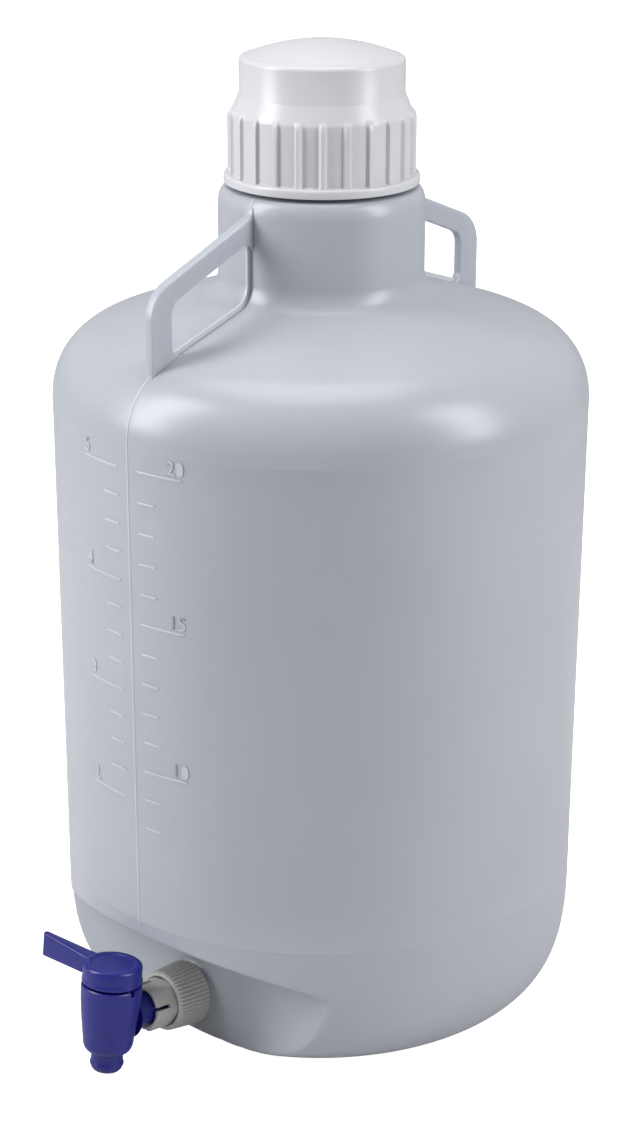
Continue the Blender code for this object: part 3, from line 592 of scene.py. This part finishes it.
def ribbed(piece, count, first_turn, half_width, edge, rib_crest):
    """Moves the wall out to rib_crest(height) inside each rib, with a round flank of width edge."""
    for vert in piece.data.vertices:
        x, y, z = vert.co / MM
        radius = hypot(x, y)
        crest = rib_crest(radius, z)
        if crest <= radius:
            continue
        pitch = 2 * pi / count
        off = (atan2(y, x) - first_turn + pitch / 2) % pitch - pitch / 2
        inside = min(max((half_width - abs(off) * radius) / edge, 0), 1)
        share = 1 + (crest / radius - 1) * inside * inside * (3 - 2 * inside)
        vert.co.x *= share
        vert.co.y *= share


def cap_rib_crest(radius, height):
    """A rib's outer face: upright over the land, with a rounded end at the foot of the chamfer."""
    if radius < CROWN_R - 1 or height < cap_foot + FLANGE_TOP - 0.2 or height > crown_foot:
        return 0
    if radius < CAP_LAND - 0.1 and height < seal_z - 0.1:
        return 0
    rise = max(height - seal_z + RIB_END / 2, 0) / RIB_END
    return 0 if rise > 1 else RIB_CREST - RIB_END * (1 - (1 - rise ** 2) ** 0.5)


ribbed(cap, RIB_COUNT, RIB_TURN, RIB_WIDTH / 2, RIB_EDGE, cap_rib_crest)
smooth(cap, 40)
cap_ridges = [helix(f"cap_thread_{start}", CAP_BORE - 1.8, CAP_BORE + 0.8, 0.7, 1.4, THREAD_FOOT + 3,
                    pi * start, 0.9) for start in range(2)]
cap = joined("cap", [cap] + cap_ridges)

# White polypropylene, injection moulded: semi-gloss, with a touch of light in its thin edges.
cap_plastic = plastic("white_polypropylene_moulded", ("#BFC0C4", "#C3C4C8"), 0.32, 0.8, 0.02,
                      soften=0.15, soften_mm=3.0)
finish_piece(cap, cap_plastic, "cap", "cap_plastic", "screw_cap")


# Boss: the short tube that stands square on the panel, moulded with the tank. The union nut covers most
# of it, and the collar's flange and its gasket seal on its end.
def along_tap(piece):
    """Turns a piece made upright so that its axis leaves the panel square, from the boss's foot."""
    piece.data.transform(Matrix.Translation(Vector((0, -PANEL_Y, TAP_Z)) * MM)
                         @ Matrix.Rotation(pi / 2 - TAP_TILT, 4, "X"))
    return piece


def ring_shell(name, sides, rings):
    """A turned wall: its section is closed by joining the last ring to the first."""
    shell = turned(name, sides, rings)
    only(shell)
    bpy.ops.object.mode_set(mode="EDIT")
    bpy.ops.mesh.select_mode(type="EDGE")
    bpy.ops.mesh.select_all(action="DESELECT")
    bpy.ops.mesh.select_non_manifold()
    bpy.ops.mesh.bridge_edge_loops()
    bpy.ops.mesh.select_mode(type="VERT")
    bpy.ops.object.mode_set(mode="OBJECT")
    close_mesh(shell)
    return shell


BOSS_R = 14.5
BOSS_LENGTH = 15.3
BOSS_BORE = 9.3
BOSS_FLARE = 4
boss_flare = [(BOSS_R + BOSS_FLARE * (1 - cos(turn)), BOSS_FLARE * (1 - sin(turn)))
              for turn in [pi / 2 * i / 5 for i in range(6)]]
boss = ring_shell("boss", 96, [(BOSS_BORE, -4), (BOSS_R + BOSS_FLARE, -4)] + boss_flare[::-1]
                  + [(BOSS_R, BOSS_LENGTH - 0.5), (BOSS_R - 0.5, BOSS_LENGTH), (BOSS_BORE, BOSS_LENGTH)])
along_tap(boss)
smooth(boss)
finish_piece(boss, tank_plastic, "tank", "tank_plastic")


# Union nut: grey polypropylene, knurled with 48 ribs, slightly narrower at its outer end. Its inner lip
# pulls the snap collar and the gasket against the boss.
NUT_SIDES = 480
NUT_FOOT = 2.5
NUT_BORE = 14.8
NUT_WIDE = 16.8
NUT_NARROW = 15.5
NUT_LIP_BORE = 13.7
NUT_RIBS = 48
NUT_RIB_HEIGHT = 0.9
NUT_RIB_HALF = 0.75
NUT_RIB_EDGE = 0.45
COLLAR_FLANGE = 3.3
lip_foot = BOSS_LENGTH + 2.6 + COLLAR_FLANGE + 0.6
nut_end = lip_foot + 2.5
nut_rows = [(NUT_WIDE - (NUT_WIDE - NUT_NARROW) * i / 10,
             NUT_FOOT + 1 + (nut_end - NUT_FOOT - 2.4) * i / 10) for i in range(11)]
nut = ring_shell("union_nut_knurled", NUT_SIDES, [
    (NUT_BORE, lip_foot), (NUT_BORE, NUT_FOOT + 0.5), (NUT_BORE + 0.4, NUT_FOOT),
    (NUT_WIDE - 0.4, NUT_FOOT), (NUT_WIDE, NUT_FOOT + 0.4), *nut_rows,
    (NUT_NARROW - 0.1, nut_end - 0.6), (NUT_NARROW - 0.7, nut_end),
    (NUT_LIP_BORE + 0.3, nut_end), (NUT_LIP_BORE, nut_end - 0.3), (NUT_LIP_BORE, lip_foot)])


def nut_rib_crest(radius, height):
    """A knurl rib's outer face: it follows the nut's taper and stops short of both ends."""
    along = NUT_FOOT + 0.9 < height < nut_end - 1.2
    return radius + NUT_RIB_HEIGHT if along and radius > NUT_NARROW - 0.05 else 0


ribbed(nut, NUT_RIBS, 0.0, NUT_RIB_HALF, NUT_RIB_EDGE, nut_rib_crest)
along_tap(nut)
smooth(nut, 50)

# Grey polypropylene, injection moulded: a warm light grey, dull from the mould's spark-eroded face.
nut_plastic = plastic("grey_polypropylene_moulded", ("#B7B6B2", "#BDBCB8"), 0.46, 0.7, 0.03)
finish_piece(nut, nut_plastic, "tank", "nut_plastic", "union_nut")


# Snap collar: a rounded hexagon of the same grey plastic with four slots in its end, so that it springs
# open when the tap's stem is pushed in. Its flange sits under the nut's lip.
HEX_CORNER = 13.4
HEX_FLAT = 12.2
HEX_LENGTH = 16.3
STEM_SEAT = 9.3
SLOT_WIDTH = 2.0
SLOT_LENGTH = 9.0
flange_foot = BOSS_LENGTH + 2.6
hex_end = lip_foot + HEX_LENGTH
collar = ring_shell("snap_collar_hexagon", 144, [
    (STEM_SEAT, flange_foot), (BOSS_R - 0.1, flange_foot), (BOSS_R - 0.1, lip_foot - 0.3),
    (HEX_CORNER, lip_foot - 0.3), (HEX_CORNER, lip_foot + 5), (HEX_CORNER, hex_end - 5),
    (HEX_CORNER, hex_end - 0.8), (HEX_CORNER - 0.8, hex_end), (STEM_SEAT + 1.4, hex_end),
    (STEM_SEAT + 0.2, hex_end - 1.6), (STEM_SEAT + 0.2, hex_end - 4), (STEM_SEAT + 1.9, hex_end - 4.4),
    (STEM_SEAT + 1.9, hex_end - 10), (STEM_SEAT, hex_end - 10.4)])
for vert in collar.data.vertices:
    x, y, z = vert.co / MM
    radius = hypot(x, y)
    if radius > STEM_SEAT + 2.5 and z > lip_foot - 0.4:
        off = atan2(y, x) % (pi / 3) - pi / 6
        share = blend_down(HEX_FLAT / cos(off), HEX_CORNER, 1.2) / HEX_CORNER
        vert.co.x *= share
        vert.co.y *= share


def cut_out(piece, tool, operation="DIFFERENCE"):
    """Cuts a tool out of a piece, or joins it on, and removes the tool."""
    step = piece.modifiers.new("cut", "BOOLEAN")
    step.object = tool
    step.operation = operation
    step.solver = "EXACT"
    apply_all(piece)
    bpy.data.objects.remove(tool)


def block(name, low, high, turn=None):
    """A plain block between two corners in millimetres, as a tool."""
    x0, y0, z0 = low
    x1, y1, z1 = high
    return slab(name, [(x0, y0), (x1, y0), (x1, y1), (x0, y1)], z0, z1, turn)


for i in range(2):
    slot_foot = (-20, -SLOT_WIDTH / 2, hex_end - SLOT_LENGTH)
    slot_head = (20, SLOT_WIDTH / 2, hex_end + 2)
    cut_out(collar, block("slot_tool", slot_foot, slot_head, Matrix.Rotation(pi / 2 * i + pi / 12, 4, "Z")))
along_tap(collar)
smooth(collar, 30)
finish_piece(collar, nut_plastic, "tank", "nut_plastic", "snap_collar")


# Tap body: blue polypropylene in one moulding, with a tapered barrel, a nozzle below it and the stem that
# snaps into the collar. The barrel stands square to the stem, so it leans back with the panel.
STEM_R = 9.0
BARREL_REACH = 62.1
BARREL_TOP_R = 16.3
BARREL_FOOT_R = 13.7
BARREL_BORE = 12.0
BARREL_TOP = 21.2
BARREL_FOOT = -9.8
BARREL_FLOOR = -11.0
NOZZLE_TOP = -17.2
NOZZLE_BEAD = -24.0
NOZZLE_TIP = -28.3
NOZZLE_R = 8.6
NOZZLE_BEAD_R = 9.15
NOZZLE_BORE = 5.2
STOP_OUT = 14.4
LEVER_SWING = radians(90)
STEM_BARB = 1.7
STEM_FLARE = 4
INLET_R = 5
TRACK_DEPTH = 2.4
TRACK_MARGIN = radians(8.5)
NOTCH_HALF = 1.2


def on_barrel(piece):
    """Turns a piece made upright onto the barrel's leaning axis, about the point where the stem meets it."""
    reach = Vector((0, -PANEL_Y - BARREL_REACH * cos(TAP_TILT), TAP_Z + BARREL_REACH * sin(TAP_TILT)))
    piece.data.transform(Matrix.Translation(reach * MM) @ Matrix.Rotation(-TAP_TILT, 4, "X"))
    return piece


barrel_rings = [(NOZZLE_BORE, NOZZLE_TIP + 2), (NOZZLE_BORE + 0.4, NOZZLE_TIP)]
barrel_rings += [(6.2, NOZZLE_TIP), (7.2, NOZZLE_TIP + 0.4), (8.2, NOZZLE_TIP + 1.6),
                 (8.9, NOZZLE_TIP + 3.2), (NOZZLE_BEAD_R, NOZZLE_BEAD),
                 (NOZZLE_BEAD_R - 0.1, NOZZLE_BEAD + 0.6),
                 (NOZZLE_R, NOZZLE_BEAD + 1.3), (NOZZLE_R, NOZZLE_TOP - 0.6), (NOZZLE_R + 0.4, NOZZLE_TOP)]
barrel_rings += [(NOZZLE_R + (BARREL_FOOT_R - NOZZLE_R) * sin(turn) ** 0.8,
                  BARREL_FOOT + (NOZZLE_TOP - BARREL_FOOT) * cos(turn) ** 0.9)
                 for turn in [pi / 2 * i / 8 for i in range(2, 9)]]
barrel_rings += [(BARREL_FOOT_R + (BARREL_TOP_R - BARREL_FOOT_R) * (1 - (1 - i / 8) ** 1.35),
                  BARREL_FOOT + (BARREL_TOP - 5 - BARREL_FOOT) * i / 8) for i in range(1, 9)]
barrel_rings += [(BARREL_TOP_R, BARREL_TOP - 0.6), (BARREL_TOP_R - 0.5, BARREL_TOP),
                 (BARREL_BORE + 0.3, BARREL_TOP), (BARREL_BORE, BARREL_TOP - 0.3),
                 (BARREL_BORE, BARREL_FLOOR), (NOZZLE_BORE, BARREL_FLOOR)]
barrel = on_barrel(ring_shell("tap_barrel", 96, barrel_rings))
stem_root = BARREL_REACH - BARREL_BORE - 1.5
stem_flare = [(STEM_R + STEM_FLARE * (1 - cos(turn)), stem_root + 1.5 - 5 * (1 - sin(turn)))
              for turn in [pi / 2 * i / 4 for i in range(5)]]
stem = along_tap(turned("stem_tool", 72, [
    (STEM_R - 1, flange_foot + 1), (STEM_R, flange_foot + 2), (STEM_R, flange_foot + 6),
    (STEM_R, hex_end - 7.5), (STEM_R + STEM_BARB, hex_end - 5), (STEM_R + STEM_BARB, hex_end - 4.7),
    (STEM_R, hex_end - 4.4),
    (STEM_R, stem_root - 4), *stem_flare]))
close_mesh(stem)
cut_out(barrel, stem, "UNION")
bore_ends = [(BARREL_BORE, BARREL_FLOOR + 0.05), (BARREL_BORE, BARREL_TOP - 1)]
bore = on_barrel(turned("bore_tool", 96, bore_ends))
close_mesh(bore)
cut_out(barrel, bore)
way_in = along_tap(turned("inlet_tool", 48, [(INLET_R, flange_foot - 1), (INLET_R, BARREL_REACH)]))
close_mesh(way_in)
cut_out(barrel, way_in)
track_floor = BARREL_TOP - TRACK_DEPTH
track = arc((0, 0), STOP_OUT, -TRACK_MARGIN, LEVER_SWING + TRACK_MARGIN, 24)
track += arc((0, 0), BARREL_BORE - 1, LEVER_SWING + TRACK_MARGIN, -TRACK_MARGIN, 24)
cut_out(barrel, on_barrel(slab("track_tool", track, track_floor, BARREL_TOP + 1)))
notch = block("notch_tool", (BARREL_BORE, -NOTCH_HALF, track_floor), (20, NOTCH_HALF, BARREL_TOP + 1))
cut_out(barrel, on_barrel(notch))
barrel.name = "tap_barrel_and_stem"
smooth(barrel, 35)

# Royal blue polypropylene, injection moulded: coloured right through, semi-gloss, soft-edged highlights.
tap_plastic = plastic("blue_polypropylene_moulded", ("#10136F", "#121573"), 0.34, 0.9, 0.03)
finish_piece(barrel, tap_plastic, "tap", "tap_plastic", "tap_body")


# Lever: a round knob with a shallow dish and an upright blade that rises to its tip, in one moulding of
# the same blue plastic, keyed on the plug. The blade points a little outwards from the closed line. A lug
# under the knob runs in the barrel's track and stops it shut and open.
KNOB_FOOT = BARREL_TOP + 1.0
KNOB_HEIGHT = 10.8
DISH_R = 12.5
LEVER_LENGTH = 48.0
BLADE_HALF = 1.9
BLADE_ROOT = 4.5
BLADE_TURN = radians(7)
LEVER_LIFT = 3.3
SOCKET_HALF_LENGTH = 6.3
SOCKET_HALF_WIDTH = 3.8
SOCKET_DEPTH = 7.3
LUG_INNER_R = 13.2
LUG_OUTER_R = 14.1
LUG_HALF = radians(7)
knob_top = KNOB_FOOT + KNOB_HEIGHT
knob = turned("lever", 128, [
    (13.9, KNOB_FOOT), (BARREL_TOP_R - 1.1, KNOB_FOOT), (BARREL_TOP_R - 0.4, KNOB_FOOT + 0.4),
    (BARREL_TOP_R, KNOB_FOOT + 1.2), (BARREL_TOP_R - 0.05, KNOB_FOOT + 2.2),
    (BARREL_TOP_R - 0.45, KNOB_FOOT + 2.9), (BARREL_TOP_R - 0.5, KNOB_FOOT + 3.6),
    (BARREL_TOP_R - 0.5, knob_top - 2), (BARREL_TOP_R - 0.8, knob_top - 0.9),
    (BARREL_TOP_R - 1.6, knob_top - 0.2), (BARREL_TOP_R - 2.4, knob_top),
    (DISH_R + 0.4, knob_top), (DISH_R - 0.2, knob_top - 0.25), (DISH_R - 0.8, knob_top - 0.8),
    (DISH_R - 1.6, knob_top - 1.0), (DISH_R / 2, knob_top - 1.1), (0, knob_top - 1.1)])
close_mesh(knob)
root_x = -(BARREL_TOP_R - 2.4)
blade_outline = arc((-LEVER_LENGTH + BLADE_HALF, 0), BLADE_HALF, pi / 2, 3 * pi / 2, 8)
blade_outline += [(root_x, -BLADE_ROOT), (root_x, BLADE_ROOT)]
blade = slab("blade_tool", blade_outline, KNOB_FOOT + 0.4, knob_top - 0.3)
bpy.ops.object.mode_set(mode="EDIT")
bpy.ops.mesh.select_all(action="SELECT")
bpy.ops.mesh.bisect(plane_co=(-BARREL_TOP_R * MM, 0, 0), plane_no=(1, 0, 0))
bpy.ops.object.mode_set(mode="OBJECT")
for vert in blade.data.vertices:
    if vert.co.z > (KNOB_FOOT + 5) * MM:
        along = max(0, (-vert.co.x / MM - BARREL_TOP_R) / (LEVER_LENGTH - BARREL_TOP_R))
        vert.co.z += LEVER_LIFT * MM * along
soften_edges(blade, 0.7, 3, 50)
blade.data.transform(Matrix.Rotation(BLADE_TURN, 4, "Z"))
cut_out(knob, blade, "UNION")
socket = block("socket_tool", (-SOCKET_HALF_LENGTH, -SOCKET_HALF_WIDTH, KNOB_FOOT - 1),
               (SOCKET_HALF_LENGTH, SOCKET_HALF_WIDTH, KNOB_FOOT + SOCKET_DEPTH))
cut_out(knob, socket)
lug = arc((0, 0), LUG_OUTER_R, -LUG_HALF, LUG_HALF, 4) + arc((0, 0), LUG_INNER_R, LUG_HALF, -LUG_HALF, 4)
cut_out(knob, slab("lug_tool", lug, BARREL_TOP - 2.1, KNOB_FOOT + 1), "UNION")
on_barrel(knob)
knob.name = "lever_knob_and_blade"
smooth(knob, 40)
finish_piece(knob, tap_plastic, "lever", "tap_plastic", "lever_handle")


# Plug and seals: a natural polyethylene plug with black nitrile o-rings inside the barrel, and clear
# silicone gaskets under the cap and behind the snap collar. They keep their own solids and get their
# materials here.
plug_plastic = plastic("natural_polyethylene_turned", ("#D2D1C6", "#DAD9CE"), 0.48, 0.6, 0.02)
seal_rubber = plastic("silicone_rubber_moulded", ("#C2C2BA", "#CACAC2"), 0.58, 0.5, 0.02)
ring_rubber = plastic("nitrile_rubber_moulded", ("#161616", "#1D1D1D"), 0.55, 0.4, 0.02)
for node, made in (("valve_plug", plug_plastic), ("cap_gasket", seal_rubber), ("boss_gasket", seal_rubber),
                   ("stem_o_ring", ring_rubber), ("plug_o_ring_upper", ring_rubber),
                   ("plug_o_ring_lower", ring_rubber)):
    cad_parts[node].data.materials.clear()
    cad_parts[node].data.materials.append(made)


# Studio: a white floor under an even sky, with one large soft panel on each side of the camera and one
# above, so that the tank is lighter at its flanks and shoulder than along its middle. The floor glows only
# as the camera sees it, so it stays white without lighting the tank from below.
CAMERA_PLACE = (0.9123, -0.9981, 0.7285)
CAMERA_TURN = radians(42.5)
CAMERA_TIP = radians(70.33)
CAMERA_ROLL = 0.004
LENS = 83.87
PANEL_AIM = Vector((0, 0, 0.3))
bpy.ops.object.select_all(action="DESELECT")
bpy.ops.mesh.primitive_plane_add(size=60, location=(0, 0, -0.0004))
floor = bpy.context.object
floor.name = "floor"
floor_paint = bpy.data.materials.new("white_acrylic_glowing")
floor_paint.use_nodes = True
shader = floor_paint.node_tree.nodes["Principled BSDF"]
shader.inputs["Base Color"].default_value = linear("#D0D0D0")
shader.inputs["Roughness"].default_value = 0.9
shader.inputs["Emission Color"].default_value = linear("#FFFFFF")
seen = add_node(floor_paint, "ShaderNodeLightPath")
floor_paint.node_tree.links.new(seen.outputs["Is Camera Ray"], shader.inputs["Emission Strength"])
floor.data.materials.append(floor_paint)

sky = bpy.data.worlds.new("studio_sky")
sky.use_nodes = True
sky.node_tree.nodes["Background"].inputs["Color"].default_value = (1.0, 1.0, 1.0, 1.0)
sky.node_tree.nodes["Background"].inputs["Strength"].default_value = 0.42
bpy.context.scene.world = sky
bpy.context.scene.view_settings.view_transform = "Standard"

for name, place, width, height, power in (("panel_left", (-0.72, -1.08, 1.0), 0.45, 1.3, 21),
                                          ("panel_right", (1.33, 0.44, 1.0), 0.45, 1.3, 18),
                                          ("panel_above", (-0.15, 0.1, 1.6), 0.9, 0.9, 8)):
    light = bpy.data.lights.new(name, "AREA")
    light.shape = "RECTANGLE"
    light.size = width
    light.size_y = height
    light.energy = power
    lamp = bpy.data.objects.new(name, light)
    lamp.location = place
    lamp.rotation_euler = (PANEL_AIM - Vector(place)).to_track_quat("-Z", "Y").to_euler()
    bpy.context.scene.collection.objects.link(lamp)

camera_data = bpy.data.cameras.new("camera")
camera_data.lens = LENS
camera = bpy.data.objects.new("camera", camera_data)
camera.location = CAMERA_PLACE
aim = Matrix.Rotation(CAMERA_TURN, 3, "Z") @ Matrix.Rotation(CAMERA_TIP, 3, "X")
camera.rotation_euler = (aim @ Matrix.Rotation(CAMERA_ROLL, 3, "Z")).to_euler()
bpy.context.scene.collection.objects.link(camera)
bpy.context.scene.camera = camera
